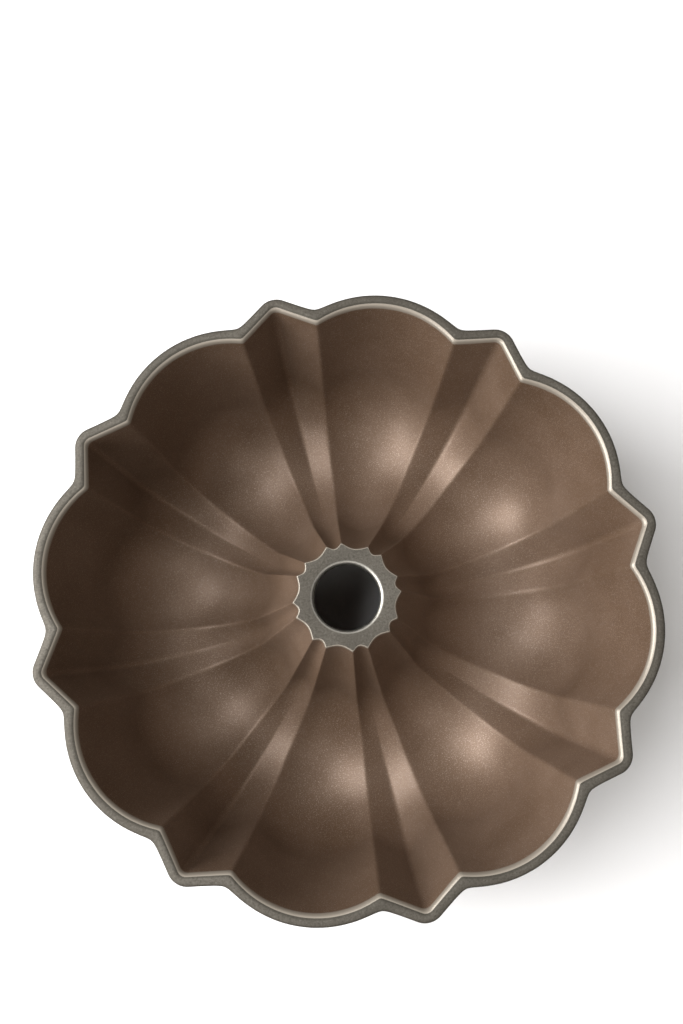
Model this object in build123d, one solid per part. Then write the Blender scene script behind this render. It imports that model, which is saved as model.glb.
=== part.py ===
from build123d import *
import os
from math import cos, radians, sin, tan

# Fluted ring cake pan: one aluminium casting with a coat on each side.
# The pan stands upright on the plane z = 0, centred on the Z axis. Seen from above it
# repeats every 45 degrees: a pointed flute whose valley lies on +X, then a round flute.

os.makedirs("parts", exist_ok=True)

# Driving dimensions, in millimetres and degrees.
HEIGHT = 88.0
FLUTE_PAIRS = 8
CREST_ANGLE = 8.0        # from a pointed flute's valley to the crest beside it

# Cavity wall at rim height: radius to the V valley, the crest and the round flute's crown.
WALL_TIP = 130.8
WALL_CREST = 120.6
WALL_CROWN = 128.85
WALL_DRAFT = 15.0

# Centre tube at rim height: radius to its 16 ridges and to the two kinds of hollow.
TUBE_RIDGE = 22.6
TUBE_NARROW_HOLLOW = 20.8
TUBE_WIDE_HOLLOW = 20.4
TUBE_DRAFT = 18.0
TUBE_DROP = 0.8          # the tube's top ring lies this far under the rim
TUBE_TOP_THICK = 4.0
BORE_RADIUS = 13.9
BORE_LIP = 1.6

# Cavity floor, as depth under the rim.
WALL_THICK = 3.0
LINING_THICK = 0.35
ENAMEL_THICK = 0.35
PAD_CUT = 0.5            # ground off the underside, which leaves eight flat pads
FLOOR_DEPTH = HEIGHT + PAD_CUT - WALL_THICK - LINING_THICK
TIP_RISE = 1.4
CREST_RISE = 5.0

# Rim.
RIM_OFFSET = 5.0         # from the cavity wall to the rim's outer edge, seen from above
RIM_DEPTH = 4.0
RIM_EDGE = 0.7
TIP_ROUND = 3.6          # of the rim's inner outline at a pointed flute's valley
CREST_ROUND = 9.0        # of the rim's outer outline at the crests
INNER_EDGE = 1.5         # rounding between the flat rim and the cavity wall

# How far an offset of 1 moves each feature outwards along its own radius.
STRETCH_TIP = 1.20
STRETCH_CREST = 1.12

PITCH = 360 / FLUTE_PAIRS
CROWN_ANGLE = PITCH / 2
HALF_ROUND = CROWN_ANGLE - CREST_ANGLE
BACK_OFFSET = LINING_THICK + WALL_THICK
ENAMEL_OFFSET = BACK_OFFSET + ENAMEL_THICK
RING_TOP = HEIGHT - TUBE_DROP
RING_UNDER = RING_TOP - TUBE_TOP_THICK
BORE_BLANK = 8.0         # the bore is cut later, so the lofts stop short of the axis


def point(radius, height, angle):
    """A point in the half plane at the given angle round the Z axis."""
    return Vector(radius * cos(radians(angle)), radius * sin(radians(angle)), height)


class Section:
    """The cavity's outline in one half plane: tube line, floor arc and wall line."""

    def __init__(self, angle, wall, tube, depth, stretch):
        self.angle = angle
        self.wall = wall
        self.tube = tube
        self.stretch = stretch
        slope = tan(radians(TUBE_DRAFT)) + tan(radians(WALL_DRAFT))
        reach = 1 / cos(radians(TUBE_DRAFT)) + 1 / cos(radians(WALL_DRAFT))
        self.floor_radius = (wall - tube - depth * slope) / (reach - slope)
        self.floor_height = HEIGHT - depth + self.floor_radius
        self.floor_centre = self.tube_line(self.floor_height, 0) + self.floor_radius / cos(
            radians(TUBE_DRAFT)
        )

    def tube_line(self, height, offset):
        """Radius of the tube's face, moved away from the cavity by offset."""
        base = self.tube + (HEIGHT - height) * tan(radians(TUBE_DRAFT))
        return base - offset * self.stretch / cos(radians(TUBE_DRAFT))

    def wall_line(self, height, offset):
        """Radius of the wall's face, moved away from the cavity by offset."""
        base = self.wall - (HEIGHT - height) * tan(radians(WALL_DRAFT))
        return base + offset * self.stretch / cos(radians(WALL_DRAFT))

    def at(self, radius, height):
        return point(radius, height, self.angle)

    def on_floor(self, direction, offset):
        """A point of the floor arc; direction is measured from straight down."""
        reach = self.floor_radius + offset * self.stretch
        return self.at(
            self.floor_centre + reach * sin(radians(direction)),
            self.floor_height - reach * cos(radians(direction)),
        )

    def floor_arc(self, offset):
        """The floor from the tube line to the wall line."""
        ends = (TUBE_DRAFT - 90, 0, 90 - WALL_DRAFT)
        return Edge.make_three_point_arc(*[self.on_floor(end, offset) for end in ends])

    def edge_arc(self, offset):
        """The rounding between the wall and the flat rim, and its centre's radius."""
        lean = radians(WALL_DRAFT)
        centre = self.wall + INNER_EDGE * (1 - sin(lean)) / cos(lean)
        reach = INNER_EDGE - offset

        def on_edge(turn):
            return self.at(
                centre - reach * sin(radians(turn)),
                HEIGHT - INNER_EDGE + reach * cos(radians(turn)),
            )

        full = 90 - WALL_DRAFT
        return Edge.make_three_point_arc(on_edge(full), on_edge(full / 2), on_edge(0)), centre


def joined(start, *corners):
    """Straight edges through the given points."""
    points = [start, *corners]
    return [Edge.make_line(a, b) for a, b in zip(points, points[1:])]


def cavity_side(section, offset):
    """Edges from the tube's top ring down, across the floor and up to the rim."""
    floor = section.floor_arc(offset)
    edge, _ = section.edge_arc(offset)
    top = section.at(section.tube_line(RING_TOP, offset), RING_TOP)
    return [*joined(top, floor @ 0), floor, *joined(floor @ 1, edge @ 0), edge]


def casting_face(section):
    front = cavity_side(section, LINING_THICK)
    back = section.floor_arc(BACK_OFFSET)
    _, band = section.edge_arc(LINING_THICK)
    outer_top = section.at(section.wall_line(HEIGHT, BACK_OFFSET), HEIGHT)
    under = section.at(section.tube_line(RING_UNDER, BACK_OFFSET), RING_UNDER)
    return Face(Wire([
        *front,
        *joined(front[-1] @ 1, section.at(band, HEIGHT), outer_top, back @ 1),
        back,
        *joined(
            back @ 0,
            under,
            section.at(BORE_BLANK, RING_UNDER),
            section.at(BORE_BLANK, RING_TOP),
            front[0] @ 0,
        ),
    ]))


def lining_face(section):
    front = cavity_side(section, 0)
    back = cavity_side(section, LINING_THICK)
    ends = [*joined(front[-1] @ 1, back[-1] @ 1), *joined(back[0] @ 0, front[0] @ 0)]
    return Face(Wire([*front, *back, *ends]))


def enamel_face(section):
    wall_top = HEIGHT - RIM_DEPTH
    edges = []
    ends = []
    for offset in (BACK_OFFSET, ENAMEL_OFFSET):
        floor = section.floor_arc(offset)
        tube_end = section.at(section.tube_line(RING_UNDER, offset), RING_UNDER)
        wall_end = section.at(section.wall_line(wall_top, offset), wall_top)
        edges += [*joined(tube_end, floor @ 0), floor, *joined(floor @ 1, wall_end)]
        ends.append((tube_end, wall_end))
    closing = [Edge.make_line(a, b) for a, b in zip(*ends)]
    return Face(Wire([*edges, *closing]))


def pointed_sections():
    """Crest, V valley, crest."""
    crest = (WALL_CREST, TUBE_RIDGE, FLOOR_DEPTH - CREST_RISE, STRETCH_CREST)
    tip = (WALL_TIP, TUBE_NARROW_HOLLOW, FLOOR_DEPTH - TIP_RISE, STRETCH_TIP)
    return [
        Section(-CREST_ANGLE, *crest),
        Section(0, *tip),
        Section(CREST_ANGLE, *crest),
    ]


def round_sections(count=5):
    """Crest to crest over the crown of a round flute."""
    sections = []
    for index in range(count):
        across = 2 * index / (count - 1) - 1
        rise = 1 - across**2
        sections.append(Section(
            CROWN_ANGLE + across * HALF_ROUND,
            WALL_CREST + rise * (WALL_CROWN - WALL_CREST),
            TUBE_RIDGE + rise * (TUBE_WIDE_HOLLOW - TUBE_RIDGE),
            FLOOR_DEPTH - CREST_RISE + rise * CREST_RISE,
            STRETCH_CREST + rise * (1 - STRETCH_CREST),
        ))
    return sections


def fluted(face_of):
    """Loft the pointed and the round flute, and repeat them round the axis."""
    pointed = loft([face_of(section) for section in pointed_sections()], ruled=True)
    rounded = loft([face_of(section) for section in round_sections()])
    turns = [Rot(0, 0, PITCH * index) for index in range(FLUTE_PAIRS)]
    return Part() + [turn * shape for turn in turns for shape in (pointed, rounded)]


def near_circle(corner, radius):
    """Whether a corner lies on the circle of this radius round the Z axis."""
    return abs(Vector(*corner).length - radius) < RIM_EDGE


def rim_outline(amount):
    """The wall's outline at rim height with rounded valleys, moved outwards by amount."""
    edges = []
    for index in range(FLUTE_PAIRS):
        base = PITCH * index
        tip = point(WALL_TIP, 0, base)
        crest = point(WALL_CREST, 0, base + CREST_ANGLE)
        crown = point(WALL_CROWN, 0, base + CROWN_ANGLE)
        next_crest = point(WALL_CREST, 0, base + PITCH - CREST_ANGLE)
        next_tip = point(WALL_TIP, 0, base + PITCH)
        edges += joined(tip, crest)
        edges.append(Edge.make_three_point_arc(crest, crown, next_crest))
        edges += joined(next_crest, next_tip)
    outline = Face(Wire(edges))
    valleys = [corner for corner in outline.vertices() if near_circle(corner, WALL_TIP)]
    return offset(fillet(valleys, TIP_ROUND), amount=amount, kind=Kind.ARC)


def rim_flange():
    """The thick band round the top, rounded at its crests and along its top edge."""
    outline = rim_outline(RIM_OFFSET)
    crest_radius = WALL_CREST + RIM_OFFSET * STRETCH_CREST
    crests = [corner for corner in outline.vertices() if near_circle(corner, crest_radius)]
    outline = fillet(crests, CREST_ROUND)
    inside = rim_outline(BACK_OFFSET / 2)
    solid = extrude(outline, RIM_DEPTH)
    solid = fillet(solid.faces().sort_by(Axis.Z)[-1].outer_wire().edges(), RIM_EDGE)
    return Pos(0, 0, HEIGHT - RIM_DEPTH) * (solid - extrude(inside, RIM_DEPTH))


def bore_cutter():
    """A cylinder up the tube whose mouth flares into a rounded lip."""
    lip_radius = BORE_RADIUS + BORE_LIP
    lip_height = RING_TOP - BORE_LIP
    midway = BORE_LIP * cos(radians(45))
    edges = joined(
        Vector(lip_radius, 0, RING_TOP),
        Vector(0, 0, RING_TOP),
        Vector(0, 0, RING_UNDER),
        Vector(BORE_RADIUS, 0, RING_UNDER),
        Vector(BORE_RADIUS, 0, lip_height),
    )
    lip = Edge.make_three_point_arc(
        edges[-1] @ 1,
        Vector(lip_radius - midway, 0, lip_height + midway),
        edges[0] @ 0,
    )
    return revolve(Face(Wire([*edges, lip])), Axis.Z)


def below_pads():
    """Everything under the plane that the pan stands on."""
    span = 4 * WALL_TIP
    return Pos(0, 0, -HEIGHT / 2) * Box(span, span, HEIGHT)


def casting():
    return fluted(casting_face) + rim_flange() - bore_cutter() - below_pads()


def cavity_lining():
    return fluted(lining_face)


def outer_enamel():
    return fluted(enamel_face) - below_pads()


NODES = {
    "pan_casting": casting,
    "cavity_nonstick_lining": cavity_lining,
    "outside_enamel": outer_enamel,
}

for name, make in NODES.items():
    export_step(make(), f"parts/{name}.step")
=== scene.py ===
from math import atan2, cos, hypot, pi, radians, sin, sqrt, tan

import bpy
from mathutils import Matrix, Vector


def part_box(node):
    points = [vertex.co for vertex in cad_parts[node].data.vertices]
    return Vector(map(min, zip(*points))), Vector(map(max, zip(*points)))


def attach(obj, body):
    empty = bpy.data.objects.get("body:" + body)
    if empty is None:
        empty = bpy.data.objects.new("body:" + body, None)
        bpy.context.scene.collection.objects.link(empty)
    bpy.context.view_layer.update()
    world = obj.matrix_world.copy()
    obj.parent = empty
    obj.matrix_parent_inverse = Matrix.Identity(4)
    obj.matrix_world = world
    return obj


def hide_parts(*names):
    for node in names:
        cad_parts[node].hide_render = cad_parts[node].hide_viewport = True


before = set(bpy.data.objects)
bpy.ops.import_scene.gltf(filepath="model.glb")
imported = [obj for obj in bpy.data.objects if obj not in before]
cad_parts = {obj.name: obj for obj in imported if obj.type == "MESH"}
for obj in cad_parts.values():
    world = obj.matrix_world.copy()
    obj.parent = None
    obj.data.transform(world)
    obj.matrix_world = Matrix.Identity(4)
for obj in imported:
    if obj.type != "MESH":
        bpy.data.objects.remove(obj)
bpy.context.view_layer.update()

# Fluted ring cake pan: a cast aluminium body, a bronze non-stick lining in its cavity and a
# bronze enamel outside. Each skin is one mesh, swept round the axis from a cross section whose
# radii swing in and out with the flutes. Lengths are millimetres until a mesh is made.

MM = 0.001
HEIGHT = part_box("pan_casting")[1][2] / MM

# Flutes, by angle round the axis. A pointed flute's valley lies at 0, a round one's crown at 22.5.
PITCH = radians(45)
CREST = radians(8)
CROWN = PITCH / 2

# Cavity wall at rim height.
WALL_TIP = 130.8
WALL_CREST = 120.6
WALL_CROWN = 128.85
TIP_ROUND = 3.6
WALL_DRAFT = radians(15)

# Centre tube at rim height.
TUBE_RIDGE = 22.9
TUBE_NARROW_HOLLOW = 20.8
TUBE_WIDE_HOLLOW = 20.4
TUBE_DRAFT = radians(18)
HOLLOW_STEEPER = radians(2.2)
RING_TOP = HEIGHT - 0.8
RING_UNDER = RING_TOP - 4.0
BORE_RADIUS = 13.9
BORE_LIP = 1.6

# Cavity floor, as depth under the rim, and the walls behind it.
LINING = 0.35
BACK = 3.35
ENAMEL = 3.70
PAD_CUT = 0.5
FLOOR_DEPTH = HEIGHT + PAD_CUT - BACK
TIP_RISE = 1.4
CREST_RISE = 5.0

# Rim band.
RIM_OFFSET = 5.0
RIM_DEPTH = 4.0
RIM_EDGE = 0.7
RIM_CROWN = 0.10
INNER_EDGE = 2.4
EDGE_START = radians(14)
EDGE_RUN = 1.4

# Faces that meet more steeply than this show a hard edge.
SHARP_ANGLE = radians(40)

# Rows of faces across the rim: its lean to the inner edge, its flat band and its outer edge.
LEAN_ROWS = 5
BAND_ROWS = 7
OUTER_ROWS = 6

# Rows round the bore's lip, and the small bevel at the bore's lower end.
LIP_ROWS = 8
BORE_BEVEL = 0.2
BORE_STRAIGHT = 1.3

# The enamel stays this far off the ground on the pads, where the casting stands.
PAD_LIFT = 0.06

# The band falls away towards the rounding in a parabola that meets it at EDGE_START.
EDGE_FALL = tan(EDGE_START) / (2 * (EDGE_RUN + INNER_EDGE * sin(EDGE_START)))
EDGE_HEIGHT = HEIGHT - INNER_EDGE * cos(EDGE_START) - tan(EDGE_START) * (
    EDGE_RUN + INNER_EDGE * sin(EDGE_START)
) / 2

# How softly neighbouring flutes run into each other.
CREST_SOFT = 0.7
RIM_CREST_SOFT = 2.3
RIDGE_SOFT = 0.55
FLOOR_SOFT = 0.7

# Camera, measured from the middle of the rim's plane, as the photographer stood.
CAMERA_TURN = radians(14.21)
CAMERA_TILT = radians(9.60)
CAMERA_ROLL = radians(0.29)
CAMERA_BACK = 43.7
CAMERA_RISE = 472.1
LENS = 39.55


# ---------------------------------------------------------------- the flutes

def soft_max(a, b, width):
    return (a + b + sqrt((a - b) ** 2 + width ** 2)) / 2


def soft_min(a, b, width):
    return (a + b - sqrt((a - b) ** 2 + width ** 2)) / 2


def within_flute(angle):
    """The angle folded into one half of a pair of flutes, from 0 at a valley to CROWN."""
    return abs((angle + CROWN) % PITCH - CROWN)


LEAN = atan2(WALL_TIP - WALL_CREST * cos(CREST), WALL_CREST * sin(CREST))
FLANK_REACH = WALL_TIP * cos(LEAN)
ROUND_CENTRE = (WALL_CROWN ** 2 - WALL_CREST ** 2) / (
    2 * (WALL_CROWN - WALL_CREST * cos(CROWN - CREST))
)
ROUND_RADIUS = WALL_CROWN - ROUND_CENTRE


def wall_radius(angle, out, soft=CREST_SOFT):
    """The wall's outline at rim height, moved outwards by out along its own normal."""
    turn = within_flute(angle)
    tip_reach = TIP_ROUND + out
    tip_centre = (FLANK_REACH - TIP_ROUND) / cos(LEAN)
    if turn < atan2(tip_reach * sin(LEAN), tip_centre + tip_reach * cos(LEAN)):
        pointed = tip_centre * cos(turn) + sqrt(tip_reach ** 2 - (tip_centre * sin(turn)) ** 2)
    else:
        pointed = (FLANK_REACH + out) / cos(turn - LEAN)
    away = CROWN - turn
    reach = ROUND_RADIUS + out
    rounded = ROUND_CENTRE * cos(away) + sqrt(reach ** 2 - (ROUND_CENTRE * sin(away)) ** 2)
    return soft_max(pointed, rounded, soft)


def round_share(turn):
    """1 at the crown of a round flute, 0 at its crests."""
    return 1 - ((CROWN - turn) / (CROWN - CREST)) ** 2


def tube_radius(angle):
    """The tube's outline at rim height."""
    turn = within_flute(angle)
    narrow = TUBE_NARROW_HOLLOW + (TUBE_RIDGE - TUBE_NARROW_HOLLOW) * (turn / CREST) ** 2
    wide = TUBE_RIDGE + (TUBE_WIDE_HOLLOW - TUBE_RIDGE) * round_share(turn)
    return soft_min(narrow, wide, RIDGE_SOFT)


def floor_depth(angle):
    turn = within_flute(angle)
    soft_turn = hypot(turn, radians(0.5)) / CREST
    pointed = FLOOR_DEPTH - TIP_RISE - (CREST_RISE - TIP_RISE) * soft_turn
    rounded = FLOOR_DEPTH - CREST_RISE + CREST_RISE * round_share(turn)
    return soft_max(pointed, rounded, FLOOR_SOFT)


def steps(start, stop, count):
    """Evenly spaced values from start to just before stop."""
    return [start + (stop - start) * index / count for index in range(count)]


def column_angles():
    """Angles round the pan, closer together where the flutes turn sharply.

    A stretch is its first and last angle in degrees and its number of columns.
    """
    stretches = ((0, 2.4, 9), (2.4, 6, 4), (6, 10.2, 12), (10.2, 22.5, 15))
    half = [radians(value) for stretch in stretches for value in steps(*stretch)]
    mirrored = [PITCH - value for value in reversed(half[1:])]
    pair = [*half, CROWN, *mirrored]
    return [value + PITCH * index for index in range(8) for value in pair]


# ---------------------------------------------------------------- cross sections

class Section:
    """The pan's outlines in the half plane at one angle, as (radius, height) points."""

    def __init__(self, angle):
        self.angle = angle
        self.wall = wall_radius(angle, 0)
        self.tube = tube_radius(angle)
        depth = floor_depth(angle)
        hollow = (TUBE_RIDGE - self.tube) / (TUBE_RIDGE - TUBE_WIDE_HOLLOW)
        self.draft = TUBE_DRAFT - HOLLOW_STEEPER * hollow
        slope = tan(self.draft) + tan(WALL_DRAFT)
        reach = 1 / cos(self.draft) + 1 / cos(WALL_DRAFT)
        self.floor_radius = (self.wall - self.tube - depth * slope) / (reach - slope)
        self.floor_height = HEIGHT - depth + self.floor_radius
        self.floor_middle = self.tube_at(self.floor_height, 0) + self.floor_radius / cos(self.draft)
        self.edge_centre = self.wall + INNER_EDGE * (1 - sin(WALL_DRAFT)) / cos(WALL_DRAFT)

    def tube_at(self, height, offset):
        return self.tube + (HEIGHT - height) * tan(self.draft) - offset / cos(self.draft)

    def wall_at(self, height, offset):
        outline = wall_radius(self.angle, offset / cos(WALL_DRAFT)) if offset else self.wall
        return outline - (HEIGHT - height) * tan(WALL_DRAFT)

    def line(self, radius_at, offset, top, bottom, count):
        """count points down a straight side, both ends included."""
        heights = [top + (bottom - top) * index / (count - 1) for index in range(count)]
        return [(radius_at(height, offset), height) for height in heights]

    def floor_arc(self, offset, count):
        """The floor, from the tube's line to the wall's line."""
        wall_shift = (self.wall_at(HEIGHT, offset) - self.wall) * cos(WALL_DRAFT)
        points = []
        for index in range(count):
            share = index / (count - 1)
            turn = (self.draft - pi / 2) * (1 - share) + (pi / 2 - WALL_DRAFT) * share
            reach = self.floor_radius + offset * (1 - share) + wall_shift * share
            points.append((
                self.floor_middle + reach * sin(turn),
                self.floor_height - reach * cos(turn),
            ))
        return points

    def cavity(self, offset, counts, tube_top):
        """Down the tube, across the floor, up the wall and over the rounded inner edge."""
        tube_count, floor_count, wall_count, edge_count = counts
        floor = self.floor_arc(offset, floor_count)
        tube = self.line(self.tube_at, offset, tube_top, floor[0][1], tube_count)
        steepest = pi / 2 - WALL_DRAFT
        edge = []
        for index in range(edge_count):
            turn = steepest + (EDGE_START - steepest) * index / (edge_count - 1)
            edge.append(self.on_edge(turn, INNER_EDGE - offset))
        wall = self.line(self.wall_at, offset, floor[-1][1], edge[0][1], wall_count)
        return [*tube[:-1], *floor, *wall[1:-1], *edge]

    def back(self, offset, counts):
        """From under the rim down the outside wall, round the floor and up inside the tube."""
        tube_count, floor_count, wall_count = counts
        floor = self.floor_arc(offset, floor_count)
        wall = self.line(self.wall_at, offset, HEIGHT - RIM_DEPTH, floor[-1][1], wall_count)
        tube = self.line(self.tube_at, offset, floor[0][1], RING_UNDER, tube_count)
        return [*wall[:-1], *reversed(floor), *tube[1:]]

    def on_edge(self, turn, reach):
        """A point of the rounding between the rim and the wall; turn is its lean from flat."""
        return self.edge_centre - reach * sin(turn), EDGE_HEIGHT + reach * cos(turn)

    def rim(self):
        """Over the nearly flat band, round its outer edge and back to the wall under it."""
        outside = wall_radius(self.angle, RIM_OFFSET, RIM_CREST_SOFT)
        flat_end = outside - RIM_EDGE
        coat_end, _ = self.on_edge(EDGE_START, INNER_EDGE)
        top = self.edge_centre + EDGE_RUN
        points = []
        for index in range(LEAN_ROWS):
            away = (top - coat_end) * (1 - index / LEAN_ROWS)
            points.append((top - away, HEIGHT - EDGE_FALL * away ** 2))
        for index in range(BAND_ROWS + 1):
            share = index / BAND_ROWS
            points.append((top + (flat_end - top) * share, HEIGHT - RIM_CROWN * share ** 2))
        for index in range(1, OUTER_ROWS + 1):
            turn = pi / 2 * index / OUTER_ROWS
            points.append((
                flat_end + RIM_EDGE * sin(turn),
                HEIGHT - RIM_CROWN - RIM_EDGE * (1 - cos(turn)),
            ))
        under = HEIGHT - RIM_DEPTH
        low_edge = RIM_EDGE / 2
        points += [(outside, HEIGHT - RIM_DEPTH / 2), (outside, under + low_edge)]
        points += [(outside - low_edge * 0.3, under + low_edge * 0.3), (outside - low_edge, under)]
        return points


def bore_outline():
    """Up the bore from the ring's underside and over the rounded lip."""
    points = [(BORE_RADIUS + BORE_BEVEL, RING_UNDER), (BORE_RADIUS, RING_UNDER + BORE_BEVEL)]
    points += [(BORE_RADIUS, RING_UNDER + BORE_STRAIGHT)]
    for index in range(LIP_ROWS + 1):
        turn = pi / 2 * index / LIP_ROWS
        points.append((
            BORE_RADIUS + BORE_LIP * (1 - cos(turn)),
            RING_TOP - BORE_LIP * (1 - sin(turn)),
        ))
    return points


# The counts below are points along the tube, the floor, the wall and, in the cavity, the edge.

def casting_outline(section):
    front = section.cavity(LINING, (6, 14, 8, 4), RING_TOP)
    back = section.back(BACK, (8, 56, 12))
    grounded = [(radius, max(height, 0)) for radius, height in back]
    return [*section.rim(), *grounded, *bore_outline(), *front]


def lining_outline(section):
    front = section.cavity(0, (18, 44, 20, 9), RING_TOP - LINING)
    hidden = section.cavity(LINING, (4, 14, 5, 3), RING_TOP)
    top = []
    for index in range(1, 4):
        turn = pi / 2 * index / 4
        radius = section.tube_at(RING_TOP - LINING, 0) - LINING * (1 - cos(turn))
        top.append((radius, RING_TOP - LINING * (1 - sin(turn))))
    return [*reversed(top), *front, *reversed(hidden)]


def enamel_outline(section):
    face = section.back(ENAMEL, (16, 44, 20))
    hidden = section.back(BACK, (4, 14, 5))
    outside = [(radius, max(height, PAD_LIFT)) for radius, height in face]
    inside = [(radius, max(height, 2 * PAD_LIFT)) for radius, height in reversed(hidden)]
    return [*outside, *inside]


def swept(name, outline_of, node, material):
    """A closed skin: one closed cross section at every angle, joined to its neighbours."""
    angles = column_angles()
    vertices = []
    for angle in angles:
        outline = outline_of(Section(angle))
        for radius, height in outline:
            vertices.append((radius * cos(angle) * MM, radius * sin(angle) * MM, height * MM))
    rows = len(outline)
    faces = []
    for column in range(len(angles)):
        here = column * rows
        there = (column + 1) % len(angles) * rows
        for row in range(rows):
            after = (row + 1) % rows
            faces.append((here + row, here + after, there + after, there + row))
    mesh = bpy.data.meshes.new(name)
    mesh.from_pydata(vertices, [], faces)
    mesh.validate()
    mesh.shade_smooth()
    mesh.set_sharp_from_angle(angle=SHARP_ANGLE)
    piece = bpy.data.objects.new(name, mesh)
    bpy.context.collection.objects.link(piece)
    mesh.materials.append(material)
    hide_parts(node)
    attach(piece, "root")
    return piece


# ---------------------------------------------------------------- materials

class Nodes:
    """Short calls for building a material's node tree."""

    def __init__(self, name):
        self.material = bpy.data.materials.new(name)
        self.material.use_nodes = True
        self.tree = self.material.node_tree
        self.shader = self.tree.nodes["Principled BSDF"]
        self.place = self.add("ShaderNodeTexCoord").outputs["Object"]

    def add(self, kind, **settings):
        node = self.tree.nodes.new(kind)
        for key, value in settings.items():
            setattr(node, key, value)
        return node

    def link(self, source, target):
        self.tree.links.new(source, target)

    def stretched(self, scale):
        node = self.add("ShaderNodeMapping")
        node.inputs["Scale"].default_value = scale
        self.link(self.place, node.inputs["Vector"])
        return node.outputs["Vector"]

    def noise(self, scale, detail=3.0, rough=0.55, vector=None):
        node = self.add("ShaderNodeTexNoise")
        node.inputs["Scale"].default_value = scale
        node.inputs["Detail"].default_value = detail
        node.inputs["Roughness"].default_value = rough
        self.link(vector or self.place, node.inputs["Vector"])
        return node.outputs["Fac"]

    def height(self):
        node = self.add("ShaderNodeSeparateXYZ")
        self.link(self.place, node.inputs["Vector"])
        return node.outputs["Z"]

    def distance(self, vector, place=(0, 0, 0)):
        node = self.add("ShaderNodeVectorMath", operation="DISTANCE")
        self.link(vector, node.inputs[0])
        node.inputs[1].default_value = place
        return node.outputs["Value"]

    def ramp(self, value, low, high, start=0.0, end=1.0):
        """value from start to end, mapped to low to high and held outside."""
        node = self.add("ShaderNodeMapRange")
        node.inputs["From Min"].default_value = start
        node.inputs["From Max"].default_value = end
        node.inputs["To Min"].default_value = low
        node.inputs["To Max"].default_value = high
        self.link(value, node.inputs["Value"])
        return node.outputs["Result"]

    def math(self, operation, a, b):
        node = self.add("ShaderNodeMath", operation=operation)
        for socket, value in zip(node.inputs, (a, b)):
            if isinstance(value, (int, float)):
                socket.default_value = value
            else:
                self.link(value, socket)
        return node.outputs["Value"]

    def blend(self, share, a, b):
        node = self.add("ShaderNodeMix", data_type="RGBA")
        for socket, value in ((node.inputs[6], a), (node.inputs[7], b)):
            if isinstance(value, tuple):
                socket.default_value = (*value, 1)
            else:
                self.link(value, socket)
        self.link(share, node.inputs[0])
        return node.outputs[2]

    def bump(self, height, strength, distance, under=None):
        node = self.add("ShaderNodeBump")
        node.inputs["Strength"].default_value = strength
        node.inputs["Distance"].default_value = distance
        self.link(height, node.inputs["Height"])
        if under:
            self.link(under, node.inputs["Normal"])
        return node.outputs["Normal"]

    def finish(self, color, rough, normal, metallic, coat=0.0, coat_rough=0.2):
        self.link(color, self.shader.inputs["Base Color"])
        self.link(rough, self.shader.inputs["Roughness"])
        self.link(normal, self.shader.inputs["Normal"])
        if isinstance(metallic, float):
            self.shader.inputs["Metallic"].default_value = metallic
        else:
            self.link(metallic, self.shader.inputs["Metallic"])
        self.shader.inputs["Coat Weight"].default_value = coat
        self.shader.inputs["Coat Roughness"].default_value = coat_rough
        return self.material


def nonstick():
    """Bronze metallic coat: fine bright flakes in a brown film, worn to metal at the top edges."""
    n = Nodes("bronze_nonstick")
    flakes = n.noise(2600, 1.0)
    clouds = n.noise(22, 4.0)
    streaks = n.noise(700, 2.0, 0.6, n.stretched((1.0, 1.0, 0.06)))
    color = n.blend(n.ramp(clouds, 0, 1, 0.35, 0.68), (0.114, 0.069, 0.041), (0.160, 0.105, 0.071))
    color = n.blend(n.ramp(streaks, 0, 0.35, 0.45, 0.75), color, (0.12, 0.078, 0.055))
    color = n.blend(n.ramp(flakes, 0, 0.6, 0.56, 0.76), color, (0.38, 0.31, 0.26))
    ragged = n.math("MULTIPLY", n.noise(90, 4.0), 0.8 * MM)
    worn = n.math("ADD", n.height(), ragged)
    worn = n.ramp(worn, 0, 1, (HEIGHT - 1.9) * MM, (HEIGHT - 1.3) * MM)
    color = n.blend(worn, color, (0.235, 0.206, 0.17))
    rough = n.math("SUBTRACT", n.ramp(clouds, 0.46, 0.56, 0.3, 0.7), n.ramp(worn, 0, 0.12))
    waves = n.bump(n.noise(60, 2.0), 0.10, 0.0006)
    normal = n.bump(flakes, 0.12, 0.0001, waves)
    metallic = n.ramp(worn, 0.45, 0.34)
    return n.finish(color, rough, normal, metallic, coat=0.10, coat_rough=0.3)


def enamel():
    """The outside coat: darker, with a fine pebbled skin."""
    n = Nodes("bronze_enamel")
    clouds = n.noise(16, 4.0)
    pebbles = n.noise(900, 2.0)
    color = n.blend(n.ramp(clouds, 0, 1, 0.35, 0.68), (0.095, 0.066, 0.047), (0.130, 0.094, 0.070))
    rough = n.ramp(clouds, 0.42, 0.54, 0.3, 0.7)
    normal = n.bump(pebbles, 0.18, 0.00012)
    return n.finish(color, rough, normal, metallic=0.45, coat=0.15, coat_rough=0.3)


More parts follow.
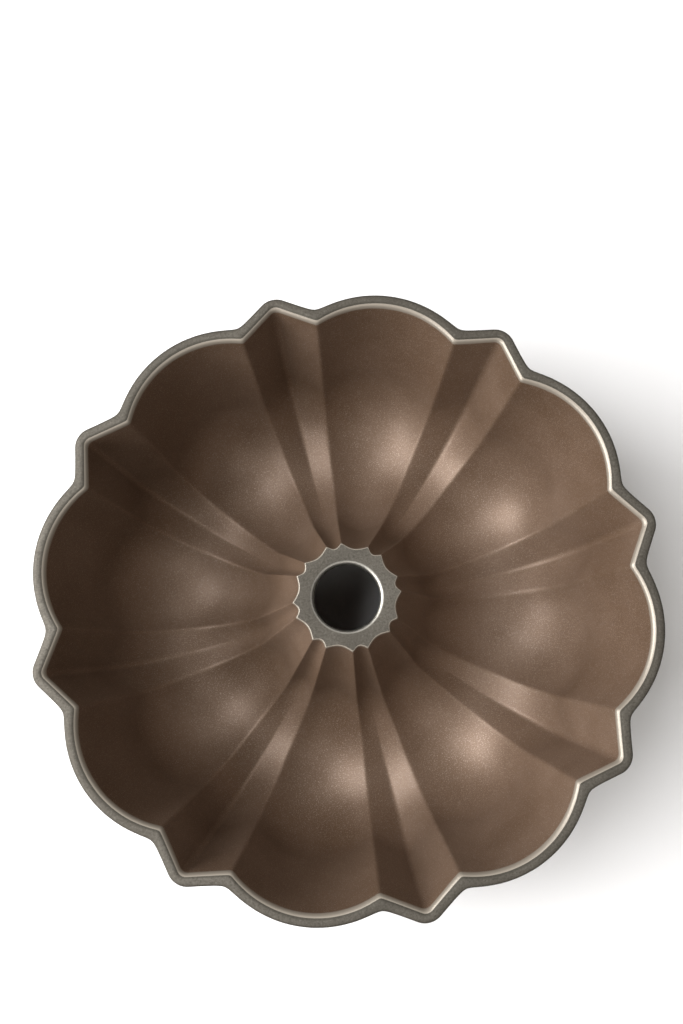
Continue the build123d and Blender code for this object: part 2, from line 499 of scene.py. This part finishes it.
def bare_metal():
    """Ground aluminium gone grey-brown in the oven, with a painted shade line where the rim
    leans in to the lining, and rubbed bright round the bore's lip."""
    n = Nodes("cast_aluminium")
    grain = n.noise(1100, 3.0, 0.7)
    lines = n.noise(420, 3.0, 0.6, n.stretched((1.0, 7.0, 1.0)))
    clouds = n.noise(30, 4.0)
    color = n.blend(n.ramp(clouds, 0, 1, 0.35, 0.68), (0.074, 0.066, 0.054), (0.103, 0.093, 0.078))
    color = n.blend(n.ramp(grain, 0, 0.6, 0.48, 0.66), color, (0.036, 0.032, 0.024))
    color = n.blend(n.ramp(grain, 0.3, 0, 0.32, 0.42), color, (0.19, 0.18, 0.155))
    height = n.height()
    # Painted shade: a thin dark line painted just below the rim's top, where the band leans in to
    # the lining, standing in for the shade that falls there.
    over = n.ramp(height, 0, 0.6, (HEIGHT - 0.40) * MM, (HEIGHT - 0.25) * MM)
    under = n.ramp(height, 1, 0, (HEIGHT - 0.12) * MM, (HEIGHT - 0.04) * MM)
    color = n.blend(n.math("MULTIPLY", over, under), color, (0.036, 0.032, 0.024))
    axis_distance = n.distance(n.stretched((1.0, 1.0, 0.0)))
    lip_end = (BORE_RADIUS + BORE_LIP) * MM
    near = n.ramp(axis_distance, 1, 0, lip_end - 0.5 * MM, lip_end + 0.1 * MM)
    high = n.ramp(height, 0, 1, (RING_TOP - 3.2) * MM, (RING_TOP - 2.0) * MM)
    polished = n.math("MULTIPLY", near, high)
    color = n.blend(polished, color, (0.31, 0.298, 0.27))
    rough = n.ramp(lines, 0.46, 0.62, 0.35, 0.65)
    rough = n.math("SUBTRACT", rough, n.ramp(polished, 0, 0.12))
    scratched = n.bump(lines, 0.16, 0.00012)
    normal = n.bump(grain, 0.22, 0.0001, scratched)
    return n.finish(color, rough, normal, n.ramp(polished, 0.65, 1.0))


def pale_floor():
    """The plain pale table, almost smooth."""
    n = Nodes("pale_floor")
    clouds = n.noise(3, 2.0)
    color = n.blend(clouds, (0.82, 0.82, 0.83), (0.86, 0.86, 0.87))
    rough = n.ramp(clouds, 0.5, 0.6)
    normal = n.bump(n.noise(300, 2.0), 0.03, 0.0002)
    return n.finish(color, rough, normal, metallic=0.0)


# ---------------------------------------------------------------- the studio

def around(angle, distance, height):
    """A place by its angle from the picture's right, as seen from above, in metres."""
    turned = angle - CAMERA_TURN
    return Vector((distance * cos(turned), distance * sin(turned), height))


def add_camera():
    data = bpy.data.cameras.new("camera")
    data.lens = LENS
    data.dof.use_dof = False
    camera = bpy.data.objects.new("camera", data)
    bpy.context.collection.objects.link(camera)
    camera.location = around(-pi / 2, CAMERA_BACK * MM, (HEIGHT + CAMERA_RISE) * MM)
    camera.rotation_euler = (CAMERA_TILT, CAMERA_ROLL, -CAMERA_TURN)
    bpy.context.scene.camera = camera


def add_light(name, place, size, power, color):
    data = bpy.data.lights.new(name, "AREA")
    data.shape = "RECTANGLE"
    data.size, data.size_y = size
    data.energy = power
    data.color = color
    light = bpy.data.objects.new(name, data)
    bpy.context.collection.objects.link(light)
    light.location = place
    light.rotation_euler = place.to_track_quat("Z", "Y").to_euler()


def add_studio():
    add_light("window", around(3.3, 1.3, 0.85), (1.9, 1.0), 50, (1.0, 0.99, 0.98))
    add_light("ceiling", around(2.95, 1.15, 1.6), (1.1, 1.8), 38, (1.0, 1.0, 1.0))
    add_light("front", around(-1.35, 0.95, 1.6), (1.8, 1.1), 10, (1.0, 0.97, 0.92))
    add_light("back", around(1.35, 0.95, 1.6), (1.8, 1.1), 8, (1.0, 0.97, 0.92))
    world = bpy.data.worlds.new("studio")
    world.use_nodes = True
    world.node_tree.nodes["Background"].inputs["Color"].default_value = (1.0, 0.93, 0.84, 1)
    world.node_tree.nodes["Background"].inputs["Strength"].default_value = 0.05
    bpy.context.scene.world = world
    bpy.context.scene.view_settings.view_transform = "Standard"


def add_floor():
    half = 2.0
    corners = [(-half, -half, 0), (half, -half, 0), (half, half, 0), (-half, half, 0)]
    mesh = bpy.data.meshes.new("floor")
    mesh.from_pydata(corners, [], [(0, 1, 2, 3)])
    mesh.materials.append(pale_floor())
    floor = bpy.data.objects.new("floor", mesh)
    bpy.context.collection.objects.link(floor)


add_camera()
add_studio()
add_floor()
swept("casting", casting_outline, "pan_casting", bare_metal())
swept("lining", lining_outline, "cavity_nonstick_lining", nonstick())
swept("enamel", enamel_outline, "outside_enamel", enamel())
